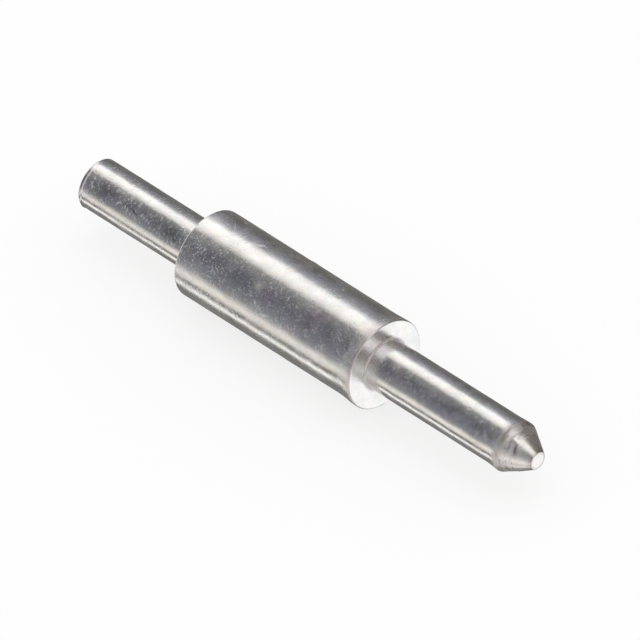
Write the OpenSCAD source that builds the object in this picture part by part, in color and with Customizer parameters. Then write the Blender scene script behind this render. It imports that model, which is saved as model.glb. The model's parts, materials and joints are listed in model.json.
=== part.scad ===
// Turned pin for a printed circuit board: a tapered lead, a thick collar and a plain post.
// It lies along X. The origin is on its axis, in the face of the collar that sits on the board.
// The lead points to +X and the post to -X. Millimetres.

/* [Lead] */
// Diameter of the lead, which goes into the board's plated hole
lead_d = 1; // [0.7:0.05:1.3]
// Length of the lead, from the seat on the collar to the flat at its tip
lead_len = 3.92; // [2.5:0.01:8]
// Diameter of the small flat that ends the taper
tip_d = 0.36; // [0.2:0.02:0.5]
// Angle between the taper and the axis, in degrees
taper_angle = 30; // [20:1:45]
// Height of the rolled lip where the taper starts
taper_lip = 0.015; // [0.005:0.005:0.03]
// Length of the stretch that swells into that lip
taper_lip_len = 0.24; // [0.1:0.02:0.4]

/* [Collar] */
// Diameter of the collar, which stops the pin on the board
collar_d = 1.75; // [1.5:0.05:3]
// Length of the collar
collar_len = 4.55; // [1.5:0.05:10]
// Height of the lip that facing the seat left round its rim
seat_lip = 0.024; // [0.005:0.001:0.03]
// Length of the stretch that swells into that lip
seat_lip_len = 0.14; // [0.1:0.02:0.4]
// Radius of the rim at the post's side
collar_edge_r = 0.02; // [0.01:0.01:0.15]

/* [Post] */
// Diameter of the post, which takes the wire, socket or second board
post_d = 1; // [0.7:0.05:1.3]
// Length of the post, from the back of the collar to its flat end
post_len = 2.9; // [1:0.05:8]
// Radius of the rim at the post's flat end
post_edge_r = 0.03; // [0.02:0.01:0.15]

/* [Corners] */
// Radius left in the corner where the lead leaves the seat
lead_root_r = 0.02; // [0.01:0.01:0.08]
// Radius left in the corner where the post leaves the collar
post_root_r = 0.03; // [0.01:0.01:0.08]

/* [Hidden] */
$fn = 96;

lead_r = lead_d / 2;
tip_r = tip_d / 2;
collar_r = collar_d / 2;
post_r = post_d / 2;

// the taper runs from the lip's crest down to the flat
lip_r = lead_r + taper_lip;
taper_len = (lip_r - tip_r) / tan(taper_angle);
taper_start = lead_len - taper_len;

// the back of the collar and the free end of the post
collar_back = -collar_len;
post_end = collar_back - post_len;

// 2-D sections have the radius along x and the axis along y

// What a corner of radius r loses when it is rounded, for a corner at the origin that opens to -x and +y
module rounded_off(r) {
    difference() {
        translate([-r, -r]) square(2 * r);
        translate([-r, r]) circle(r);
    }
}

// What a corner of radius r keeps, for a corner at the origin that opens to +x and +y
module left_in_corner(r) {
    difference() {
        square(r);
        translate([r, r]) circle(r);
    }
}

module lead_section() {
    polygon([
        [0, 0],
        [lead_r, 0],
        [lead_r, taper_start - taper_lip_len],
        [lip_r, taper_start],
        [tip_r, lead_len],
        [0, lead_len]
    ]);
    translate([lead_r, 0]) left_in_corner(lead_root_r);
}

module collar_section() {
    difference() {
        polygon([
            [0, collar_back],
            [collar_r, collar_back],
            [collar_r, -seat_lip_len],
            [collar_r + seat_lip, 0],
            [0, 0]
        ]);
        translate([collar_r, collar_back]) rounded_off(collar_edge_r);
    }
}

module post_section() {
    difference() {
        translate([0, post_end]) square([post_r, post_len]);
        translate([post_r, post_end]) rounded_off(post_edge_r);
    }
    translate([post_r, collar_back]) mirror([0, 1]) left_in_corner(post_root_r);
}

// One piece of round bar, turned in one set-up
module pin() {
    color([0.80, 0.80, 0.79])
        rotate([0, 90, 0])
            rotate_extrude() {
                lead_section();
                collar_section();
                post_section();
            }
}

pin();
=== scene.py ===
# A turned, plated pin for a circuit board, lying on a pale floor.
import json
import math

import bpy
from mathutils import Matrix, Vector


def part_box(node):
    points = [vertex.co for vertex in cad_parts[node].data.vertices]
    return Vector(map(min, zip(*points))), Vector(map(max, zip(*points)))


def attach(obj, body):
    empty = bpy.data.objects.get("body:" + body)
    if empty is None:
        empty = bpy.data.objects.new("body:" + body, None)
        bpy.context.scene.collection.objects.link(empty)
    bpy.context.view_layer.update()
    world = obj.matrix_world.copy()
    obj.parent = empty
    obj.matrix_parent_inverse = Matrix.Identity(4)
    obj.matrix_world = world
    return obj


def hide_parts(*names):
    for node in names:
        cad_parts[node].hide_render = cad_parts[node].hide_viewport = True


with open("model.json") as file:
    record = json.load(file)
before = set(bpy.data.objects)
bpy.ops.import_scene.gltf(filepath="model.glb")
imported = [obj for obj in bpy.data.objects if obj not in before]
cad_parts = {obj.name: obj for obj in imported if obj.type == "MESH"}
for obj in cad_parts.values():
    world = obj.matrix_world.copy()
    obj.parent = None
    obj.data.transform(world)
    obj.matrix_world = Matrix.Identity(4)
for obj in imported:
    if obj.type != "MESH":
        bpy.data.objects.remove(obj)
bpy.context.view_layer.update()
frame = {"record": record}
print("frame loaded")

mm = 0.001
degree = math.pi / 180


# Small helpers for node trees

def addNode(tree, kind, at=(0, 0), **settings):
    node = tree.nodes.new(kind)
    node.location = (at[0] * 180, at[1] * -160)
    for name, value in settings.items():
        setattr(node, name, value)
    return node


def plug(tree, value, socket):
    # a socket is linked, anything else is written on the socket as its value
    if isinstance(value, bpy.types.NodeSocket):
        tree.links.new(value, socket)
    else:
        socket.default_value = value


def mathNode(tree, operation, *values, at=(0, 0)):
    node = addNode(tree, "ShaderNodeMath", at, operation=operation)
    for value, socket in zip(values, node.inputs):
        plug(tree, value, socket)
    return node.outputs[0]


def vectorNode(tree, operation, *values, at=(0, 0)):
    node = addNode(tree, "ShaderNodeVectorMath", at, operation=operation)
    for value, socket in zip(values, node.inputs):
        plug(tree, value, socket)
    return node.outputs["Value" if operation == "DISTANCE" else "Vector"]


def mapRange(tree, value, low, high, toLow=0.0, toHigh=1.0, smooth=False, at=(0, 0)):
    node = addNode(tree, "ShaderNodeMapRange", at, interpolation_type="SMOOTHSTEP" if smooth else "LINEAR")
    inputs = {"Value": value, "From Min": low, "From Max": high, "To Min": toLow, "To Max": toHigh}
    for name, given in inputs.items():
        plug(tree, given, node.inputs[name])
    return node.outputs["Result"]


def combineXyz(tree, x, y, z, at=(0, 0)):
    node = addNode(tree, "ShaderNodeCombineXYZ", at)
    for value, socket in zip((x, y, z), node.inputs):
        plug(tree, value, socket)
    return node.outputs[0]


def separateXyz(tree, vector, at=(0, 0)):
    node = addNode(tree, "ShaderNodeSeparateXYZ", at)
    tree.links.new(vector, node.inputs[0])
    return node.outputs


def noiseNode(tree, vector, scale, seed, detail=2.0, roughness=0.5, at=(0, 0)):
    node = addNode(tree, "ShaderNodeTexNoise", at, noise_dimensions="4D")
    inputs = {"Vector": vector, "W": seed, "Scale": scale, "Detail": detail, "Roughness": roughness}
    for name, value in inputs.items():
        plug(tree, value, node.inputs[name])
    return node.outputs[0]


def mixColour(tree, factor, first, second, blend="MIX", at=(0, 0)):
    node = addNode(tree, "ShaderNodeMix", at, data_type="RGBA", blend_type=blend)
    plug(tree, factor, node.inputs["Factor"])
    colourInputs = [socket for socket in node.inputs if socket.type == "RGBA"]
    plug(tree, first, colourInputs[0])
    plug(tree, second, colourInputs[1])
    return [socket for socket in node.outputs if socket.type == "RGBA"][0]


def add(tree, *values, at=(0, 0)):
    result = values[0]
    for value in values[1:]:
        result = mathNode(tree, "ADD", result, value, at=at)
    return result


def product(tree, *values, at=(0, 0)):
    result = values[0]
    for value in values[1:]:
        result = mathNode(tree, "MULTIPLY", result, value, at=at)
    return result


def hump(tree, value, middle, width, sharp=False, at=(0, 0)):
    # 1 at the middle and falling away on both sides: pointed with sharp, rounded without
    away = mathNode(tree, "DIVIDE", mathNode(tree, "SUBTRACT", value, middle, at=at), width, at=at)
    away = mathNode(tree, "ABSOLUTE", away, at=at) if sharp else mathNode(tree, "MULTIPLY", away, away, at=at)
    return mathNode(tree, "EXPONENT", mathNode(tree, "MULTIPLY", away, -1.0, at=at), at=at)


# The pin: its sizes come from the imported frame, its small marks from here

mounts = {m["name"]: m for m in frame["record"]["mounts"]}
low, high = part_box("pin")

pinShape = {
    "Lead radius": mounts["lead"]["dims"]["r_mm"] * mm,
    "Lead end": high.x,
    "Tip radius": 0.18 * mm,
    "Taper angle": 30 * degree,
    "Taper lip height": 0.015 * mm,
    "Taper lip length": 0.26 * mm,
    "Taper crest radius": 0.018 * mm,
    "Taper step radius": 0.362 * mm,  # a small step that the tool left part of the way down the taper
    "Taper step depth": 0.007 * mm,
    "Taper step place": 0.268 * mm,
    "Taper step length": 0.02 * mm,
    "Taper lean": 0.035 * mm,  # how far the taper's start is askew
    "Tip rim radius": 0.025 * mm,
    "Collar radius": 0.875 * mm,
    "Collar back": mounts["collar_back"]["pos_m"][0],
    "Collar rim radius": 0.02 * mm,
    "Seat rim radius": 0.028 * mm,
    "Seat lip height": 0.024 * mm,
    "Seat lip length": 0.28 * mm,
    "Post radius": mounts["post"]["dims"]["r_mm"] * mm,
    "Post end": low.x,
    "Post rim radius": 0.018 * mm,
    "Post groove depth": 0.006 * mm,
    "Post groove place": 0.052 * mm,
    "Post groove width": 0.026 * mm,
    "Post burr": 0.02 * mm,
    "Lead root radius": 0.02 * mm,
    "Post root radius": 0.03 * mm,
    "Burr side": 222 * degree,  # round the pin from +Y, where the tool left the burrs highest
    "Burr lopsidedness": 0.55,
    "Nick height": 0.009 * mm,
    "Nick place": -2.46 * mm,
    "Nick side": 42 * degree,
    "Relief height": 0.0026 * mm,
    "Relief size": 0.36 * mm,
    "Swell radius": 3 * mm,  # how gently the bar swells into the taper's lip
    "Ring step": 0.034 * mm,  # longest stretch between two rings of faces
    "Rim step": 0.012 * mm,  # the same close to a rim
    "Segments": 192,  # faces round the pin
    "Seed": 4.0,
}


def pinTree(sizes):
    tree = bpy.data.node_groups.new("turnedPin", "GeometryNodeTree")
    face = tree.interface
    face.new_socket("Geometry", in_out="OUTPUT", socket_type="NodeSocketGeometry")
    for name, value in sizes.items():
        kind = "NodeSocketInt" if isinstance(value, int) else "NodeSocketFloat"
        face.new_socket(name, in_out="INPUT", socket_type=kind)
    face.new_socket("Finish", in_out="INPUT", socket_type="NodeSocketMaterial")
    given = addNode(tree, "NodeGroupInput", (-14, 0)).outputs

    # the half section, from the middle of the tip flat to the middle of the post's end
    lipRadius = mathNode(tree, "ADD", given["Lead radius"], given["Taper lip height"], at=(-12, 0))
    fall = mathNode(tree, "SUBTRACT", lipRadius, given["Tip radius"], at=(-11, 0))
    slope = mathNode(tree, "TANGENT", given["Taper angle"], at=(-12, 1))
    taperLength = mathNode(tree, "DIVIDE", fall, slope, at=(-10, 0))
    taperStart = mathNode(tree, "SUBTRACT", given["Lead end"], taperLength, at=(-9, 0))
    swellStart = mathNode(tree, "SUBTRACT", taperStart, given["Taper lip length"], at=(-8, 0))
    stepStart = mathNode(tree, "ADD", taperStart, given["Taper step place"], at=(-8, 1))
    stepEnd = mathNode(tree, "ADD", stepStart, given["Taper step length"], at=(-7, 1))
    stepInside = mathNode(tree, "SUBTRACT", given["Taper step radius"], given["Taper step depth"], at=(-7, 0))
    grooveStart = mathNode(tree, "ADD", given["Post end"], 0.2 * mm, at=(-12, 3))
    corners = [
        # place along the axis, radius, size of the round on that corner
        (given["Lead end"], 0.0, 0.0),
        (given["Lead end"], given["Tip radius"], given["Tip rim radius"]),
        (stepEnd, stepInside, 0.01 * mm),
        (stepStart, given["Taper step radius"], 0.01 * mm),
        (taperStart, lipRadius, given["Taper crest radius"]),
        (swellStart, given["Lead radius"], given["Swell radius"]),
        (0.0, given["Lead radius"], given["Lead root radius"]),
        (0.0, given["Collar radius"], given["Seat rim radius"]),
        (-0.6 * mm, given["Collar radius"], 0.0),
        (given["Collar back"], given["Collar radius"], given["Collar rim radius"]),
        (given["Collar back"], given["Post radius"], given["Post root radius"]),
        (grooveStart, given["Post radius"], 0.0),
        (given["Post end"], given["Post radius"], given["Post rim radius"]),
        (given["Post end"], 0.0, 0.0),
    ]
    line = addNode(tree, "GeometryNodeMeshLine", (-8, 4))
    line.inputs["Count"].default_value = len(corners)
    index = addNode(tree, "GeometryNodeInputIndex", (-8, 6)).outputs[0]
    places = addNode(tree, "GeometryNodeIndexSwitch", (-6, 3), data_type="VECTOR")
    rounds = addNode(tree, "GeometryNodeIndexSwitch", (-6, 6), data_type="FLOAT")
    for switch in (places, rounds):
        while len(switch.index_switch_items) < len(corners):
            switch.index_switch_items.new()
        tree.links.new(index, switch.inputs["Index"])
    for k, (along, radius, roundSize) in enumerate(corners):
        plug(tree, combineXyz(tree, along, radius, 0.0, at=(-7, 2 + k)), places.inputs[str(k)])
        plug(tree, roundSize, rounds.inputs[str(k)])
    placed = addNode(tree, "GeometryNodeSetPosition", (-5, 4))
    tree.links.new(line.outputs["Mesh"], placed.inputs["Geometry"])
    tree.links.new(places.outputs[0], placed.inputs["Position"])
    curve = addNode(tree, "GeometryNodeMeshToCurve", (-4, 4))
    tree.links.new(placed.outputs[0], curve.inputs["Mesh"])
    rounded = addNode(tree, "GeometryNodeFilletCurve", (-3, 4))
    plug(tree, curve.outputs[0], rounded.inputs["Curve"])
    if "Mode" in rounded.inputs:
        rounded.inputs["Mode"].default_value = "Poly"
    else:
        rounded.mode = "POLY"
    rounded.inputs["Count"].default_value = 8
    plug(tree, rounds.outputs[0], rounded.inputs["Radius"])
    rounded.inputs["Limit Radius"].default_value = True

    # long stretches are cut up, so that the rings follow each other closely enough for the relief
    position = addNode(tree, "GeometryNodeInputPosition", (-3, 7)).outputs[0]
    here = addNode(tree, "GeometryNodeInputIndex", (-3, 8)).outputs[0]
    ahead = addNode(tree, "GeometryNodeFieldAtIndex", (-2, 7), data_type="FLOAT_VECTOR", domain="POINT")
    plug(tree, position, ahead.inputs["Value"])
    plug(tree, mathNode(tree, "ADD", here, 1.0, at=(-2, 8)), ahead.inputs["Index"])
    stretch = vectorNode(tree, "DISTANCE", position, ahead.outputs[0], at=(-1, 7))
    # short stretches, beside a lip or a groove, get finer rings
    isShort = mathNode(tree, "LESS_THAN", stretch, 0.26 * mm, at=(-1, 8))
    step = mapRange(tree, isShort, 0.0, 1.0, given["Ring step"], given["Rim step"], at=(0, 8))
    cuts = mathNode(tree, "FLOOR", mathNode(tree, "DIVIDE", stretch, step, at=(0, 7)), at=(1, 7))
    # the last corner has nothing after it to cut
    cuts = mathNode(tree, "MINIMUM", cuts, 200.0, at=(2, 7))
    cutUp = addNode(tree, "GeometryNodeSubdivideCurve", (-1, 4))
    plug(tree, rounded.outputs[0], cutUp.inputs["Curve"])
    plug(tree, cuts, cutUp.inputs["Cuts"])
    section = cutUp.outputs[0]

    # the section is carried round the axis on a grid: one row for each of its points
    size = addNode(tree, "GeometryNodeAttributeDomainSize", (0, 3), component="CURVE")
    tree.links.new(section, size.inputs[0])
    columns = mathNode(tree, "ADD", given["Segments"], 1.0, at=(0, 2))
    grid = addNode(tree, "GeometryNodeMeshGrid", (1, 3))
    plug(tree, size.outputs["Point Count"], grid.inputs["Vertices X"])
    plug(tree, columns, grid.inputs["Vertices Y"])
    number = addNode(tree, "GeometryNodeInputIndex", (1, 1)).outputs[0]
    row = mathNode(tree, "FLOOR", mathNode(tree, "DIVIDE", mathNode(tree, "ADD", number, 0.5, at=(2, 0)),
                                           columns, at=(3, 0)), at=(4, 0))
    before = mathNode(tree, "MULTIPLY", row, columns, at=(5, 0))
    column = mathNode(tree, "SUBTRACT", number, before, at=(6, 0))
    turn = mathNode(tree, "MULTIPLY", mathNode(tree, "DIVIDE", column, given["Segments"], at=(7, 0)),
                    2 * math.pi, at=(8, 0))
    sample = addNode(tree, "GeometryNodeSampleIndex", (5, 3), data_type="FLOAT_VECTOR", domain="POINT")
    plug(tree, section, sample.inputs["Geometry"])
    plug(tree, addNode(tree, "GeometryNodeInputPosition", (4, 4)).outputs[0], sample.inputs["Value"])
    plug(tree, row, sample.inputs["Index"])
    along, radius, _ = separateXyz(tree, sample.outputs[0], at=(6, 3))
    cosine = mathNode(tree, "COSINE", turn, at=(9, 0))
    sine = mathNode(tree, "SINE", turn, at=(9, 1))
    along, radius = toolMarks(tree, given, taperStart, along, radius, turn)
    spot = combineXyz(tree, along, mathNode(tree, "MULTIPLY", radius, cosine, at=(11, 0)),
                      mathNode(tree, "MULTIPLY", radius, sine, at=(11, 1)), at=(12, 0))
    shaped = addNode(tree, "GeometryNodeSetPosition", (13, 2))
    plug(tree, grid.outputs["Mesh"], shaped.inputs["Geometry"])
    plug(tree, spot, shaped.inputs["Position"])

    # closing the seam and the two poles
    closed = addNode(tree, "GeometryNodeMergeByDistance", (14, 2))
    plug(tree, shaped.outputs[0], closed.inputs["Geometry"])
    closed.inputs["Distance"].default_value = 1e-8
    smooth = addNode(tree, "GeometryNodeSetShadeSmooth", (15, 2))
    plug(tree, closed.outputs[0], smooth.inputs[0])
    real = addNode(tree, "GeometryNodeRealizeInstances", (16, 2))
    plug(tree, smooth.outputs[0], real.inputs[0])
    finish = addNode(tree, "GeometryNodeSetMaterial", (17, 2))
    plug(tree, real.outputs[0], finish.inputs["Geometry"])
    plug(tree, given["Finish"], finish.inputs["Material"])
    out = addNode(tree, "NodeGroupOutput", (18, 2))
    plug(tree, finish.outputs[0], out.inputs[0])
    return tree


def toolMarks(tree, given, taperStart, along, radius, turn):
    # what the tool left: a lip round the seat, a skewed start to the taper,
    # a groove and a burr at the post's end, and a nick in the collar
    away = mathNode(tree, "SUBTRACT", turn, given["Burr side"], at=(8, 5))
    side = mathNode(tree, "COSINE", away, at=(9, 5))
    heavier = mathNode(tree, "MULTIPLY", side, given["Burr lopsidedness"], at=(9, 6))
    heavier = mathNode(tree, "ADD", heavier, 1.0, at=(10, 6))
    outer = mapRange(tree, radius, mathNode(tree, "MULTIPLY", given["Collar radius"], 0.75, at=(8, 7)),
                     mathNode(tree, "MULTIPLY", given["Collar radius"], 0.95, at=(8, 7)), at=(9, 7))
    seatLip = product(tree, given["Seat lip height"], heavier, outer,
                      hump(tree, along, 0.0, given["Seat lip length"], at=(9, 8)), at=(10, 8))
    rim = mapRange(tree, radius, mathNode(tree, "MULTIPLY", given["Post radius"], 0.9, at=(8, 9)),
                   mathNode(tree, "MULTIPLY", given["Post radius"], 0.98, at=(8, 9)), at=(9, 9))
    groovePlace = mathNode(tree, "ADD", given["Post end"], given["Post groove place"], at=(8, 10))
    groove = product(tree, given["Post groove depth"], rim, -1.0,
                     hump(tree, along, groovePlace, given["Post groove width"], at=(9, 10)), at=(10, 10))
    burr = product(tree, given["Post burr"], rim, hump(tree, away, 0.0, 0.22, at=(9, 11)),
                   hump(tree, along, given["Post end"], 0.02 * mm, sharp=True, at=(9, 12)), at=(10, 11))
    # the marks die away towards the axis, so that the ends stay closed
    fade = mathNode(tree, "DIVIDE", radius, given["Tip radius"], at=(8, 18))
    fade = mathNode(tree, "MINIMUM", fade, 1.0, at=(8, 17))
    lean = product(tree, given["Taper lean"], side, fade, -1.0,
                   hump(tree, along, taperStart, 0.2 * mm, at=(9, 13)), at=(10, 13))
    crest = product(tree, given["Taper lip height"], side, given["Burr lopsidedness"], fade,
                    hump(tree, along, taperStart, 0.12 * mm, sharp=True, at=(9, 14)), at=(10, 14))

    # the plating follows a faint unevenness in the bar
    across = product(tree, radius, mathNode(tree, "COSINE", turn, at=(8, 15)), at=(9, 15))
    up = product(tree, radius, mathNode(tree, "SINE", turn, at=(8, 16)), at=(9, 16))
    spot = combineXyz(tree, along, across, up, at=(10, 15))
    scale = mathNode(tree, "DIVIDE", 1.0, given["Relief size"], at=(10, 17))
    unevenness = noiseNode(tree, spot, scale, given["Seed"], 2.0, 0.4, at=(11, 15))
    swing = mapRange(tree, unevenness, 0.2, 0.8, -1.0, 1.0, at=(12, 15))
    relief = product(tree, swing, given["Relief height"], fade, at=(13, 15))
    nickAway = mathNode(tree, "SUBTRACT", turn, given["Nick side"], at=(8, 19))
    nick = product(tree, given["Nick height"], fade, hump(tree, nickAway, 0.0, 0.07, at=(9, 19)),
                   hump(tree, along, given["Nick place"], 0.05 * mm, at=(9, 20)), at=(10, 19))
    for mark in (seatLip, groove, burr, crest, nick, relief):
        radius = mathNode(tree, "ADD", radius, mark, at=(14, 10))
    return mathNode(tree, "ADD", along, lean, at=(14, 12)), radius


def treeToMesh(name, tree, values):
    # the tree runs once on an empty mesh, and its result is kept as a plain mesh
    carrier = bpy.data.objects.new(name + "Carrier", bpy.data.meshes.new(name + "Carrier"))
    bpy.context.scene.collection.objects.link(carrier)
    modifier = carrier.modifiers.new("shape", "NODES")
    modifier.node_group = tree
    sockets = {s.name: s.identifier for s in tree.interface.items_tree if getattr(s, "in_out", "") == "INPUT"}
    for label, value in values.items():
        modifier[sockets[label]] = value
    depsgraph = bpy.context.evaluated_depsgraph_get()
    mesh = bpy.data.meshes.new_from_object(carrier.evaluated_get(depsgraph))
    carrier.modifiers.remove(modifier)
    bpy.data.objects.remove(carrier)
    piece = bpy.data.objects.new(name, mesh)
    mesh.name = name
    bpy.context.scene.collection.objects.link(piece)
    return piece


# The plated metal

platedMetal = {
    "colour": (0.83, 0.83, 0.825, 1.0),
    "wornColour": (0.75, 0.665, 0.65, 1.0),  # where burrs and edges are rubbed
    "mottleDepth": 0.13,  # how much patches of the plating differ in tone
    "mottleScale": 3.2,  # patches to a millimetre
    "tintDepth": 0.02,  # and in colour, from green to pink
    "castDepth": 0.04,  # and from yellow to blue
    "roughness": 0.15,
    "roughnessSpread": 0.07,
    "faceRoughness": 0.24,  # the seat, faced with a broad tool
    "taperRoughness": 0.2,
    "outerTaperRoughness": 0.3,
    "rootRoughness": 0.22,
    "rimRoughness": 0.4,  # the collar's rim at the post's side
    "shinyPlace": (3.55, 116.0, 0.14, 0.14, 0.0, -0.24),  # a nick, as in the lists below, less rough
    "residueScale": 14.0,  # dull specks left by the plating bath, to a millimetre, on the lead and the post
    "collarResidueScale": 22.0,  # and on the collar
    "residueShare": 0.2,  # how much of the metal's shine they cover
    "residueRoughness": 0.22,
    "residueTint": 0.07,
    "residueSide": 135.0,  # degrees round the pin from +Y
    "clearPlace": (-2.64, 133.6, 0.19, 0.19, 0.0, 1.0),  # a disc without specks, as in the lists below
    "pitScale": 22.0,
    "pitHeight": 0.65,  # heights in thousandths of a millimetre
    "rimUndersideDarkening": 0.6,  # how much darker the collar's edge is along a short stretch of its underside
    "dentScale": 9.0,
    "dentShare": 0.3,
    "dentHeight": 2.2,
    "ringHeight": 0.9,
}

# Where one finish gives way to the next, in millimetres: from the first number to the second
finishZones = {
    # along the axis
    "seatPlane": (-0.014, -0.004),
    "collarSide": (-0.006, -0.03),
    "aheadOfCollar": (-0.2, 0.0),
    "rootAlong": (0.42, 0.1),
    "filletAlong": (0.035, 0.02),
    "thinnerOnCollar": (-3.6, -1.6),
    "thinnerOnLead": (0.05, 0.9),
    "taper": (-0.1, 0.05),  # from the taper's crest
    "outerTaper": (0.27, 0.24),  # from the crest too
    "tipFlat": (-0.03, -0.01),  # from the tip
    # out from the axis
    "pastRoot": (0.53, 0.6),
    "rootOut": (0.6, 0.53),
    "filletOut": (0.56, 0.53),
    "collarOut": (0.6, 0.7),
    "outerCollar": (0.8, 0.86),
    "collarEdge": (0.876, 0.892),
    "tipEdge": (0.12, 0.17),
    "postEdge": (0.47, 0.485),
}

# How worn, dulled and roughened the edges are
wornShares = {"seatRim": 0.9, "crest": 0.45, "tipRim": 0.7, "taper": 0.38, "root": 0.2, "postRim": 0.3}
dullShares = {"tipRim": 0.3, "postEdge": 0.45, "crest": 0.14}
roughShares = {"seatRim": 0.25, "fillet": 0.35, "crest": 0.12}

# Scratches and nicks from handling: place along the axis in mm, angle round the pin in degrees from +Y,
# length and width in mm, slant in degrees, height in thousandths of a millimetre
handlingMarks = [
    (-6.09, 142.0, 0.17, 0.03, 25.0, -1.5),
    (-3.23, 85.0, 0.17, 0.07, -29.0, 2.5),
    (-3.155, 117.6, 0.022, 0.022, 0.0, 2.5),
    (-2.2, 121.0, 0.22, 0.015, 60.0, -1.5),
    (3.56, 119.0, 0.1, 0.12, 0.0, 12.0),
]

# Duller places in the plating, in the same order, with how much is lost there in place of the height
dullPlaces = [
    (-6.09, 142.0, 0.2, 0.045, 25.0, 0.7),
    (-5.02, 148.0, 0.15, 0.04, 30.0, 0.45),
    (-6.95, 143.0, 0.7, 0.32, 0.0, 0.3),
    (-5.25, 140.0, 0.55, 0.26, 0.0, 0.34),
    (-3.62, 130.0, 0.5, 0.4, 0.0, 0.14),
    (-1.1, 131.0, 0.9, 0.3, 0.0, 0.1),
    (-1.75, 95.0, 0.7, 0.16, 0.0, 0.14),
    (3.62, 141.0, 0.05, 0.22, -14.0, 0.6),
    (-0.1, 107.0, 0.2, 0.4, 0.0, 0.15),
    (0.45, 134.8, 0.16, 0.14, 0.0, 0.2),
    (0.62, 141.0, 0.14, 0.1, 0.0, 0.2),
    (0.78, 128.6, 0.2, 0.12, 0.0, 0.2),
    (2.09, 138.9, 0.22, 0.2, 0.0, 0.14),
    (2.86, 137.0, 0.24, 0.2, 0.0, 0.14),
]

# Small hazy places, in the same order, with how thick the haze is
hazePlaces = [
    (-3.23, 85.0, 0.14, 0.05, -29.0, 0.7),
    (-2.64, 133.6, 0.17, 0.17, 0.0, 0.75),
    (-1.94, 127.7, 0.07, 0.04, 50.0, 0.8),
    (-2.55, 152.8, 0.1, 0.04, 55.0, 0.9),
    (-4.0, 63.0, 0.09, 0.05, 30.0, 0.9),
    (-3.98, 83.0, 0.3, 0.02, 45.0, 0.7),
    (-1.29, 75.6, 0.07, 0.05, 30.0, 0.8),
    (-2.26, 160.6, 0.17, 0.035, -15.0, 0.9),
    (-4.38, 88.0, 0.3, 0.28, 0.0, 0.5),
    (3.0, 147.3, 0.24, 0.06, 55.0, 0.45),
]

# Places with a cast of their own, in the same order: above 0 pinker, below 0 greener
tintedPlaces = [
    (-2.64, 133.6, 0.14, 0.14, 0.0, -0.04),
    (-2.3, 140.0, 0.3, 0.2, 60.0, 0.05),
    (-1.2, 128.0, 0.5, 0.3, 0.0, 0.05),
    (-0.1, 107.0, 0.2, 0.4, 0.0, 0.03),
    (0.6, 135.0, 0.5, 0.3, 0.0, 0.035),
]

# The same, above 0 bluer and below 0 yellower
castPlaces = [
    (-2.64, 133.6, 0.15, 0.15, 0.0, -0.09),
    (2.3, 146.0, 0.8, 0.2, 0.0, 0.04),
]


def scratch(tree, x, turn, radius, mark, at):
    along, angle, length, width, slant, height = mark
    u = mathNode(tree, "SUBTRACT", x, along, at=at)
    v = product(tree, mathNode(tree, "SUBTRACT", turn, angle * degree, at=at), radius, at=at)
    c, s = math.cos(slant * degree), math.sin(slant * degree)
    lengthwise = add(tree, product(tree, u, c, at=at), product(tree, v, s, at=at), at=at)
    across = add(tree, product(tree, v, c, at=at), product(tree, u, -s, at=at), at=at)
    lengthwise = hump(tree, lengthwise, 0.0, length / 2, at=at)
    return product(tree, lengthwise, hump(tree, across, 0.0, width / 2, at=at), height, at=at)


def scratches(tree, x, turn, radius, marks, at):
    return [scratch(tree, x, turn, radius, mark, (at[0], at[1] + k)) for k, mark in enumerate(marks)]


def zone(tree, value, name, origin=0.0, at=(0, 0)):
    # 0 before the zone and 1 past it, with soft ends
    start, end = finishZones[name]
    return mapRange(tree, value, origin + start, origin + end, smooth=True, at=at)


def patches(tree, place, scale, seed, detail, rough, fromTo, into=(0.0, 1.0), smooth=False, at=(0, 0)):
    # noise of so many patches to a millimetre, with the part in fromTo stretched into another range
    noise = noiseNode(tree, place, scale, seed, detail, rough, at=at)
    return mapRange(tree, noise, *fromTo, *into, smooth=smooth, at=(at[0] + 1, at[1]))


def less(tree, value, at=(0, 0)):
    # what a share leaves over
    return mathNode(tree, "SUBTRACT", 1.0, value, at=at)


def shared(tree, places, shares, at):
    return [product(tree, places[name], share, at=at) for name, share in shares.items()]


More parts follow.
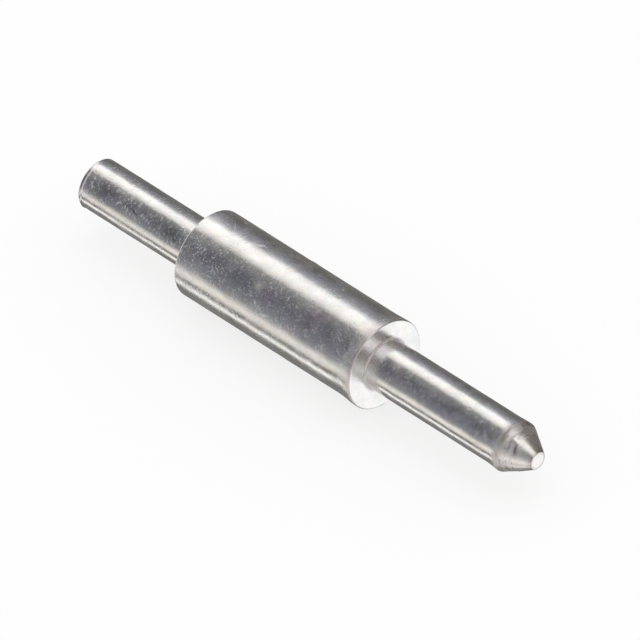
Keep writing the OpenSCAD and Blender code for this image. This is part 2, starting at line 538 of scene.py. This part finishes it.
def finishPlaces(tree, x, radius):
    # where the different finishes are, each from 0 to 1
    tip, postEnd, collarBack = high.x / mm, low.x / mm, pinShape["Collar back"] / mm
    fall = pinShape["Lead radius"] + pinShape["Taper lip height"] - pinShape["Tip radius"]
    crestX = tip - fall / math.tan(pinShape["Taper angle"]) / mm
    ahead = mapRange(tree, x, *finishZones["aheadOfCollar"], at=(-15, 4))
    onSide = zone(tree, x, "collarSide", at=(-15, 6))
    onEdge = zone(tree, radius, "collarEdge", at=(-15, 7))
    outer = zone(tree, radius, "outerCollar", at=(-15, 8))
    taper = zone(tree, x, "taper", crestX, at=(-14, 9))
    return {
        "face": product(tree, zone(tree, x, "seatPlane", at=(-14, 1)),
                        zone(tree, radius, "pastRoot", at=(-14, 2)), at=(-13, 1)),
        "root": product(tree, zone(tree, x, "rootAlong", at=(-14, 3)),
                        zone(tree, radius, "rootOut", at=(-14, 4)), ahead, at=(-13, 3)),
        "fillet": product(tree, zone(tree, x, "filletAlong", at=(-14, 17)),
                          zone(tree, radius, "filletOut", at=(-14, 18)), ahead, at=(-13, 17)),
        "collarRim": product(tree, hump(tree, x, collarBack, 0.03, at=(-14, 13)), outer, at=(-13, 13)),
        "onEdge": onEdge,
        "seatRim": product(tree, hump(tree, x, 0.0, 0.1, sharp=True, at=(-14, 6)),
                           mathNode(tree, "MAXIMUM", onSide, onEdge, at=(-14, 7)), outer, at=(-13, 6)),
        "crest": hump(tree, x, crestX, 0.1, at=(-14, 8)),
        "taper": taper,
        "outerTaper": product(tree, taper, zone(tree, x, "outerTaper", crestX, at=(-14, 20)), at=(-13, 20)),
        "tipRim": product(tree, hump(tree, x, tip, 0.05, sharp=True, at=(-14, 10)),
                          zone(tree, radius, "tipEdge", at=(-14, 11)), at=(-13, 10)),
        "flat": zone(tree, x, "tipFlat", tip, at=(-14, 16)),
        "postRim": hump(tree, x, postEnd, 0.05, sharp=True, at=(-14, 12)),
        "postEdge": product(tree, hump(tree, x, postEnd, 0.028, at=(-14, 21)),
                            zone(tree, radius, "postEdge", at=(-14, 22)), at=(-13, 21)),
    }


def residueCover(tree, look, places, place, stretched, x, radius, turn):
    # small dull specks, finer on the collar, longer round the ends than along them, with a broad haze
    coarse = patches(tree, stretched, look["residueScale"], 21.0, 2.0, 0.55, (0.49, 0.68),
                     smooth=True, at=(-12, -1))
    fine = patches(tree, place, look["collarResidueScale"], 22.0, 3.0, 0.65, (0.485, 0.68),
                   smooth=True, at=(-12, -7))
    onCollar = mapRange(tree, radius, *finishZones["collarOut"], at=(-12, -8))
    specks = add(tree, product(tree, fine, onCollar, at=(-11, -7)),
                 product(tree, coarse, less(tree, onCollar, at=(-11, -8)), at=(-10, -8)), at=(-10, -7))
    thick = patches(tree, place, 2.6, 23.0, 2.0, 0.5, (0.3, 0.7), (0.3, 1.2), at=(-12, -2))
    broad = patches(tree, place, 3.5, 27.0, 4.0, 0.6, (0.38, 0.66), (0.0, 0.26), smooth=True, at=(-12, -6))
    # more of it on the side that lay uppermost in the bath
    away = mathNode(tree, "SUBTRACT", turn, look["residueSide"] * degree, at=(-13, -4))
    facing = mathNode(tree, "COSINE", away, at=(-12, -4))
    upper = mapRange(tree, facing, 0.35, 0.85, 0.42, 1.0, smooth=True, at=(-11, -4))
    onLead = mapRange(tree, x, *finishZones["thinnerOnLead"], 1.0, 0.6, smooth=True, at=(-12, -5))
    towardsSeat = mapRange(tree, x, *finishZones["thinnerOnCollar"], 1.0, 0.68, smooth=True, at=(-12, -9))
    upper = product(tree, upper, onLead, towardsSeat, at=(-10, -4))
    clean = less(tree, mathNode(tree, "MAXIMUM", places["face"], places["flat"], at=(-11, -3)), at=(-10, -3))
    disc = scratch(tree, x, turn, radius, look["clearPlace"], (-12, -30))
    clean = product(tree, clean, less(tree, disc, at=(-11, -30)), at=(-10, -30))
    cover = add(tree, product(tree, specks, thick, upper, at=(-10, -2)), broad, at=(-10, -1))
    haze = add(tree, *scratches(tree, x, turn, radius, hazePlaces, (-12, -20)), at=(-11, -20))
    return add(tree, product(tree, cover, clean, at=(-9, -2)), haze, at=(-9, -1))


def metalMaterial(look):
    material = bpy.data.materials.new("platedMetal")
    material.use_nodes = True
    tree = material.node_tree
    shader = tree.nodes["Principled BSDF"]
    # places in millimetres: along the axis, out from it and round it
    coordinates = addNode(tree, "ShaderNodeTexCoord", (-20, 0)).outputs["Object"]
    scaled = addNode(tree, "ShaderNodeVectorMath", (-19, 0), operation="SCALE")
    plug(tree, coordinates, scaled.inputs[0])
    plug(tree, 1 / mm, scaled.inputs["Scale"])
    place = scaled.outputs["Vector"]
    stretched = vectorNode(tree, "MULTIPLY", place, (1.4, 1.0, 1.0), at=(-13, 14))
    x, y, z = separateXyz(tree, place, at=(-18, 0))
    squares = add(tree, product(tree, y, y, at=(-17, 1)), product(tree, z, z, at=(-17, 2)), at=(-16, 1))
    radius = mathNode(tree, "SQRT", squares, at=(-15, 1))
    turn = mathNode(tree, "ARCTAN2", z, y, at=(-17, 3))
    places = finishPlaces(tree, x, radius)
    residue = residueCover(tree, look, places, place, stretched, x, radius, turn)

    # colour: pale plating with faint patches, duller and browner where it is rubbed
    depth = look["mottleDepth"]
    tone = patches(tree, place, look["mottleScale"], 2.0, 4.0, 0.6, (0.3, 0.7), (1 - depth, 1 + depth * 0.4),
                   at=(-12, 0))
    depth = look["tintDepth"]
    tint = patches(tree, place, 4.0, 7.0, 3.0, 0.5, (0.3, 0.7), (-depth, depth), at=(-12, 1))
    depth = look["residueTint"]
    speckTint = patches(tree, place, 9.0, 25.0, 2.0, 0.5, (0.3, 0.7), (depth * -0.6, depth), at=(-12, -3))
    speckTint = product(tree, speckTint, residue, at=(-10, -3))
    tint = add(tree, tint, speckTint, *scratches(tree, x, turn, radius, tintedPlaces, (-12, 40)), at=(-10, 3))
    # the collar's edge is darker along a short stretch of its underside, facing straight down
    undersideStretch = hump(tree, turn, -94.5 * degree, 0.09, at=(-12, 29))
    rimUndersideDarkening = product(tree, places["onEdge"], undersideStretch, look["rimUndersideDarkening"], at=(-11, 29))
    streakPlace = combineXyz(tree, product(tree, x, 13.0), product(tree, turn, 1.6), 0.0, at=(-13, 28))
    streaks = patches(tree, streakPlace, 1.0, 31.0, 3.0, 0.6, (0.46, 0.66), (0.0, 0.4),
                      smooth=True, at=(-12, 28))
    streaks = product(tree, streaks, places["outerTaper"], at=(-10, 28))
    dull = add(tree, rimUndersideDarkening, streaks, *shared(tree, places, dullShares, (-11, 27)),
               *scratches(tree, x, turn, radius, dullPlaces, (-12, 30)), at=(-11, 3))
    tone = product(tree, tone, less(tree, dull, at=(-11, 2)), at=(-10, 2))
    depth = look["castDepth"]
    cast = patches(tree, place, 5.0, 33.0, 2.0, 0.5, (0.3, 0.7), (-depth, depth), at=(-12, 45))
    cast = add(tree, cast, *scratches(tree, x, turn, radius, castPlaces, (-12, 46)), at=(-10, 45))
    # a tint above 0 is pinker and below 0 greener, a cast above 0 bluer and below 0 yellower
    tones = combineXyz(tree, add(tree, tone, tint, product(tree, cast, -0.35), at=(-10, 0)),
                       add(tree, tone, product(tree, tint, -0.8), at=(-10, 1)),
                       add(tree, tone, product(tree, tint, 0.6), cast, at=(-10, 2)), at=(-9, 0))
    rubbed = add(tree, *shared(tree, places, wornShares, (-11, 4)), at=(-10, 4))
    patchy = patches(tree, place, 9.0, 11.0, 3.0, 0.6, (0.3, 0.62), (0.25, 1.0), smooth=True, at=(-12, 3))
    rubbed = mathNode(tree, "MINIMUM", product(tree, rubbed, patchy, at=(-10, 3)), 1.0, at=(-9, 4))
    colour = mixColour(tree, rubbed, look["colour"], look["wornColour"], at=(-8, 2))
    colour = mixColour(tree, 1.0, colour, tones, blend="MULTIPLY", at=(-7, 1))
    tree.links.new(colour, shader.inputs["Base Color"])

    # gloss
    plain, spread = look["roughness"], look["roughnessSpread"] / 2
    rougher = {
        "face": look["faceRoughness"] - plain,
        "taper": look["taperRoughness"] - plain,
        "outerTaper": look["outerTaperRoughness"] - look["taperRoughness"],
        "root": look["rootRoughness"] - plain,
        "collarRim": look["rimRoughness"] - plain,
        **roughShares,
    }
    cloudy = patches(tree, place, 5.0, 3.0, 3.0, 0.6, (0.3, 0.7), (-spread, spread), at=(-12, 5))
    rough = add(tree, plain, cloudy, *shared(tree, places, rougher, (-10, 5)),
                product(tree, residue, look["residueRoughness"], at=(-10, 6)),
                scratch(tree, x, turn, radius, look["shinyPlace"], (-12, 6)), at=(-8, 5))
    tree.links.new(rough, shader.inputs["Roughness"])
    covered = product(tree, residue, look["residueShare"], at=(-9, 6))
    tree.links.new(less(tree, covered, at=(-8, 6)), shader.inputs["Metallic"])

    # heights, in thousandths of a millimetre
    pits = product(tree, noiseNode(tree, place, look["pitScale"], 5.0, 2.0, 0.55, at=(-12, 7)),
                   look["pitHeight"] * 2, at=(-11, 7))
    cells = addNode(tree, "ShaderNodeTexVoronoi", (-12, 8), feature="F1")
    plug(tree, stretched, cells.inputs["Vector"])
    plug(tree, look["dentScale"], cells.inputs["Scale"])
    chance, swing, _ = separateXyz(tree, cells.outputs["Color"], at=(-11, 9))
    chosen = mathNode(tree, "LESS_THAN", chance, look["dentShare"], at=(-10, 9))
    hollow = mapRange(tree, cells.outputs["Distance"], 0.0, 0.38, 1.0, 0.0, smooth=True, at=(-11, 8))
    swing = mapRange(tree, swing, 0.0, 1.0, -1.0, 1.0, at=(-10, 10))
    dents = product(tree, hollow, chosen, swing, look["dentHeight"], at=(-9, 8))
    ringPlace = combineXyz(tree, product(tree, x, 38.0), 0.0, 0.0, at=(-12, 11))
    turned = add(tree, 0.06, *shared(tree, places, {"taper": 1.0, "crest": 0.6, "seatRim": 0.6}, (-11, 13)),
                 at=(-10, 11))
    rings = product(tree, noiseNode(tree, ringPlace, 1.0, 1.0, 2.0, 0.5, at=(-11, 11)), turned,
                    look["ringHeight"] * 4, at=(-9, 11))
    facePlace = combineXyz(tree, product(tree, radius, 30.0), 0.0, 0.0, at=(-12, 12))
    faceRings = product(tree, noiseNode(tree, facePlace, 1.0, 1.0, 2.0, 0.5, at=(-11, 12)), places["face"],
                        look["ringHeight"] * 3, at=(-9, 12))
    marks = scratches(tree, x, turn, radius, handlingMarks, (-12, 15))
    height = add(tree, pits, dents, rings, faceRings, *marks, at=(-6, 8))
    bump = addNode(tree, "ShaderNodeBump", (-4, 6))
    bump.inputs["Strength"].default_value = 1.0
    bump.inputs["Distance"].default_value = 0.001 * mm
    plug(tree, height, bump.inputs["Height"])
    tree.links.new(bump.outputs["Normal"], shader.inputs["Normal"])
    return material


metal = metalMaterial(platedMetal)
print("metal made")
pin = treeToMesh("turnedPin", pinTree(pinShape), {**pinShape, "Finish": metal})
print("pin turned:", len(pin.data.polygons), "faces")
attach(pin, "root")
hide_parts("pin")


# The studio

studio = {
    "floorColour": (0.98, 0.98, 0.98, 1.0),
    "floorGlow": (1.0, 1.0, 1.0, 1.0),
    "floorGlowShare": 0.72,
    "floorSize": 2.0,
    "floorGap": 0.01 * mm,  # leaves room for the burr on the collar's rim
    "worldStrength": 0.96,
    "shellRadius": 0.3,
}

# What the metal mirrors, by the direction in degrees round the pin's axis:
# 0 is level towards the camera's side, 90 is straight up, 180 level behind the pin, -90 straight down.
# Each entry is an angle, a brightness, and a tint: below 0 is cooler, above 0 warmer.
towardsPost = [
    (-180, 0.145, 1.5),
    (-140, 0.19, 1.0),
    (-100, 0.2, 0.5),
    (-77, 0.2, 1.5),
    (-71, 0.5, 1.0),
    (-67, 1.2, 0.8),
    (-60, 1.25, 0.6),
    (-55, 0.24, 0.8),
    (-46, 0.13, 1.0),
    (-40, 0.74, 1.8),
    (-28, 0.96, 1.5),
    (-18, 0.53, 0.6),
    (-10, 0.26, -1.3),
    (5, 0.2, -2.6),
    (30, 0.13, -3.3),
    (48, 0.135, -2.4),
    (66, 0.2, -0.7),
    (79, 0.27, 0.6),
    (87, 0.86, 1.1),
    (100, 1.2, 0.9),
    (119, 1.28, 0.4),
    (127, 0.62, -0.6),
    (132, 0.36, -1.4),
    (142, 0.27, -1.7),
    (156, 0.18, -1.3),
    (170, 0.14, 0.8),
    (180, 0.145, 1.5),
]
towardsLead = [
    (-180, 0.2, 1.5),
    (-172, 0.28, 1.2),
    (-158, 1.05, 0.2),
    (-108, 1.05, 0.2),
    (-95, 0.36, 1.5),
    (-78, 0.45, 1.5),
    (-68, 1.05, 0.4),
    (-58, 0.62, 1.2),
    (-46, 0.85, 1.0),
    (-30, 1.1, 0.6),
    (-10, 0.62, 0.2),
    (10, 0.4, -0.6),
    (50, 0.34, -0.6),
    (66, 0.6, 0.0),
    (74, 1.05, 0.3),
    (98, 1.12, 0.4),
    (112, 0.32, 2.0),
    (130, 0.17, 2.6),
    (160, 0.17, 2.6),
    (180, 0.2, 2.2),
]
alongLead = [
    (-180, 0.26, 1.6),
    (-163, 0.42, 1.2),
    (-147, 1.16, 0.1),
    (-116, 1.2, 0.1),
    (-103, 0.4, 1.4),
    (-90, 1.1, 0.6),
    (-76, 0.36, 1.4),
    (-60, 0.5, 0.8),
    (-25, 0.85, 0.6),
    (-5, 0.5, 1.2),
    (20, 0.26, 2.0),
    (45, 0.28, 2.0),
    (62, 0.75, 0.6),
    (78, 1.25, 0.2),
    (110, 1.2, 0.3),
    (132, 0.36, 1.8),
    (160, 0.26, 1.8),
    (180, 0.26, 1.6),
]


def directionRamp(tree, turn, fields, at):
    ramp = addNode(tree, "ShaderNodeValToRGB", at)
    stops = ramp.color_ramp.elements
    while len(stops) < len(fields):
        stops.new(0.5)
    for stop, (angle, level, tint) in zip(stops, fields):
        stop.position = (angle + 180) / 360
        stop.color = (level * (1 + 0.03 * max(tint, 0)), level, level * (1 - 0.05 * tint), 1.0)
    tree.links.new(turn, ramp.inputs[0])
    return ramp.outputs["Color"]


def shellMaterial():
    material = bpy.data.materials.new("studioFields")
    material.use_nodes = True
    material.cycles.emission_sampling = "NONE"
    tree = material.node_tree
    tree.nodes.clear()
    coordinates = addNode(tree, "ShaderNodeTexCoord", (-6, 0)).outputs["Object"]
    direction = vectorNode(tree, "NORMALIZE", coordinates, at=(-5, 0))
    x, y, z = separateXyz(tree, direction, at=(-4, 0))
    turn = mathNode(tree, "ARCTAN2", z, mathNode(tree, "MULTIPLY", y, -1.0, at=(-3, 1)), at=(-2, 0))
    turn = mapRange(tree, turn, -math.pi, math.pi, at=(-1, 0))
    back = directionRamp(tree, turn, towardsPost, (0, 0))
    front = directionRamp(tree, turn, towardsLead, (0, 2))
    ahead = directionRamp(tree, turn, alongLead, (0, 3))
    side = mapRange(tree, x, -0.25, 0.15, smooth=True, at=(0, 4))
    fields = mixColour(tree, side, back, front, at=(2, 1))
    fields = mixColour(tree, mapRange(tree, x, 0.4, 0.55, smooth=True, at=(0, 6)), fields, ahead, at=(3, 2))
    # a white card square to the post's end
    card = mapRange(tree, x, -0.66, -0.9, smooth=True, at=(0, 5))
    fields = mixColour(tree, card, fields, (1.05, 1.05, 1.03, 1.0), at=(3, 1))
    glow = addNode(tree, "ShaderNodeEmission", (3, 1))
    plug(tree, fields, glow.inputs["Color"])
    out = addNode(tree, "ShaderNodeOutputMaterial", (4, 1))
    tree.links.new(glow.outputs[0], out.inputs["Surface"])
    return material


def meshObject(name, vertices, faces, material):
    mesh = bpy.data.meshes.new(name)
    mesh.from_pydata(vertices, [], faces)
    mesh.materials.append(material)
    item = bpy.data.objects.new(name, mesh)
    bpy.context.scene.collection.objects.link(item)
    return item


def studioShell(radius):
    # a ball of long strips round the pin, which only the metal sees
    rows, columns = 32, 64
    vertices = []
    for i in range(1, rows):
        tilt = math.pi * i / rows
        for j in range(columns):
            turn = 2 * math.pi * j / columns
            vertices.append((radius * math.cos(tilt), radius * math.sin(tilt) * math.cos(turn),
                             radius * math.sin(tilt) * math.sin(turn)))
    faces = []
    for i in range(rows - 2):
        for j in range(columns):
            k = (j + 1) % columns
            faces.append((i * columns + j, i * columns + k, (i + 1) * columns + k, (i + 1) * columns + j))
    first, last = len(vertices), len(vertices) + 1
    vertices += [(radius, 0, 0), (-radius, 0, 0)]
    for j in range(columns):
        k = (j + 1) % columns
        faces.append((first, k, j))
        faces.append((last, (rows - 2) * columns + j, (rows - 2) * columns + k))
    shell = meshObject("studioShell", vertices, faces, shellMaterial())
    for ray in ("camera", "diffuse", "transmission", "volume_scatter", "shadow"):
        setattr(shell, "visible_" + ray, False)
    return shell


def floorMaterial():
    # pale and plain, with part of its white given to the camera directly, so that the shadow stays soft
    material = bpy.data.materials.new("paleFloor")
    material.use_nodes = True
    tree = material.node_tree
    shader = tree.nodes["Principled BSDF"]
    shader.inputs["Base Color"].default_value = studio["floorColour"]
    shader.inputs["Roughness"].default_value = 1.0
    shader.inputs["Specular IOR Level"].default_value = 0.0
    rays = addNode(tree, "ShaderNodeLightPath", (-3, 2)).outputs
    seen = add(tree, rays["Is Camera Ray"], rays["Is Glossy Ray"], rays["Is Transmission Ray"], at=(-2, 2))
    glow = addNode(tree, "ShaderNodeEmission", (-2, 4))
    glow.inputs["Color"].default_value = studio["floorGlow"]
    mix = addNode(tree, "ShaderNodeMixShader", (1, 2))
    plug(tree, product(tree, seen, studio["floorGlowShare"], at=(-1, 2)), mix.inputs[0])
    tree.links.new(shader.outputs[0], mix.inputs[1])
    tree.links.new(glow.outputs[0], mix.inputs[2])
    tree.links.new(mix.outputs[0], tree.nodes["Material Output"].inputs["Surface"])
    return material


half = studio["floorSize"] / 2
floorLevel = low.z - studio["floorGap"]
corners = [(x, y, floorLevel) for x, y in ((-half, -half), (half, -half), (half, half), (-half, half))]
floor = meshObject("floor", corners, [(0, 1, 2, 3)], floorMaterial())
floor.visible_glossy = False
shell = studioShell(studio["shellRadius"])

world = bpy.data.worlds.new("paleRoom")
bpy.context.scene.world = world
world.use_nodes = True
backdrop = world.node_tree.nodes["Background"]
backdrop.inputs["Color"].default_value = (1.0, 1.0, 1.0, 1.0)
backdrop.inputs["Strength"].default_value = studio["worldStrength"]

softbox = bpy.data.lights.new("softbox", "AREA")
softbox.shape = "RECTANGLE"
softbox.size, softbox.size_y = 0.3, 0.15
softbox.energy = 0.02
softboxObject = bpy.data.objects.new("softbox", softbox)
softboxObject.location = (-0.05, 0.06, 0.2)
softboxObject.rotation_euler = (-softboxObject.location).to_track_quat("-Z", "Y").to_euler()
softboxObject.visible_glossy = False
bpy.context.scene.collection.objects.link(softboxObject)

# The camera: a long lens, looking down on the pin from the lead's side

shot = {
    "azimuth": 45.9,  # degrees, as in the other views: 0 looks along +Y, 90 along -X
    "elevation": 37.7,
    "distance": 0.45,
    "frameWidth": 11.487 * mm,  # what the frame covers at the pin
    "aim": (-1.158 * mm, -0.497 * mm, 0.628 * mm),
}
azimuth, elevation = shot["azimuth"] * degree, shot["elevation"] * degree
towardsCamera = Vector((math.sin(azimuth) * math.cos(elevation), -math.cos(azimuth) * math.cos(elevation),
                        math.sin(elevation)))
lens = bpy.data.cameras.new("camera")
lens.sensor_width = 36.0
lens.lens = lens.sensor_width * shot["distance"] / shot["frameWidth"]
lens.clip_start, lens.clip_end = 0.01, 5.0
camera = bpy.data.objects.new("camera", lens)
camera.location = Vector(shot["aim"]) + towardsCamera * shot["distance"]
camera.rotation_euler = (-towardsCamera).to_track_quat("-Z", "Y").to_euler()
bpy.context.scene.collection.objects.link(camera)
bpy.context.scene.camera = camera

bpy.context.scene.view_settings.view_transform = "Standard"
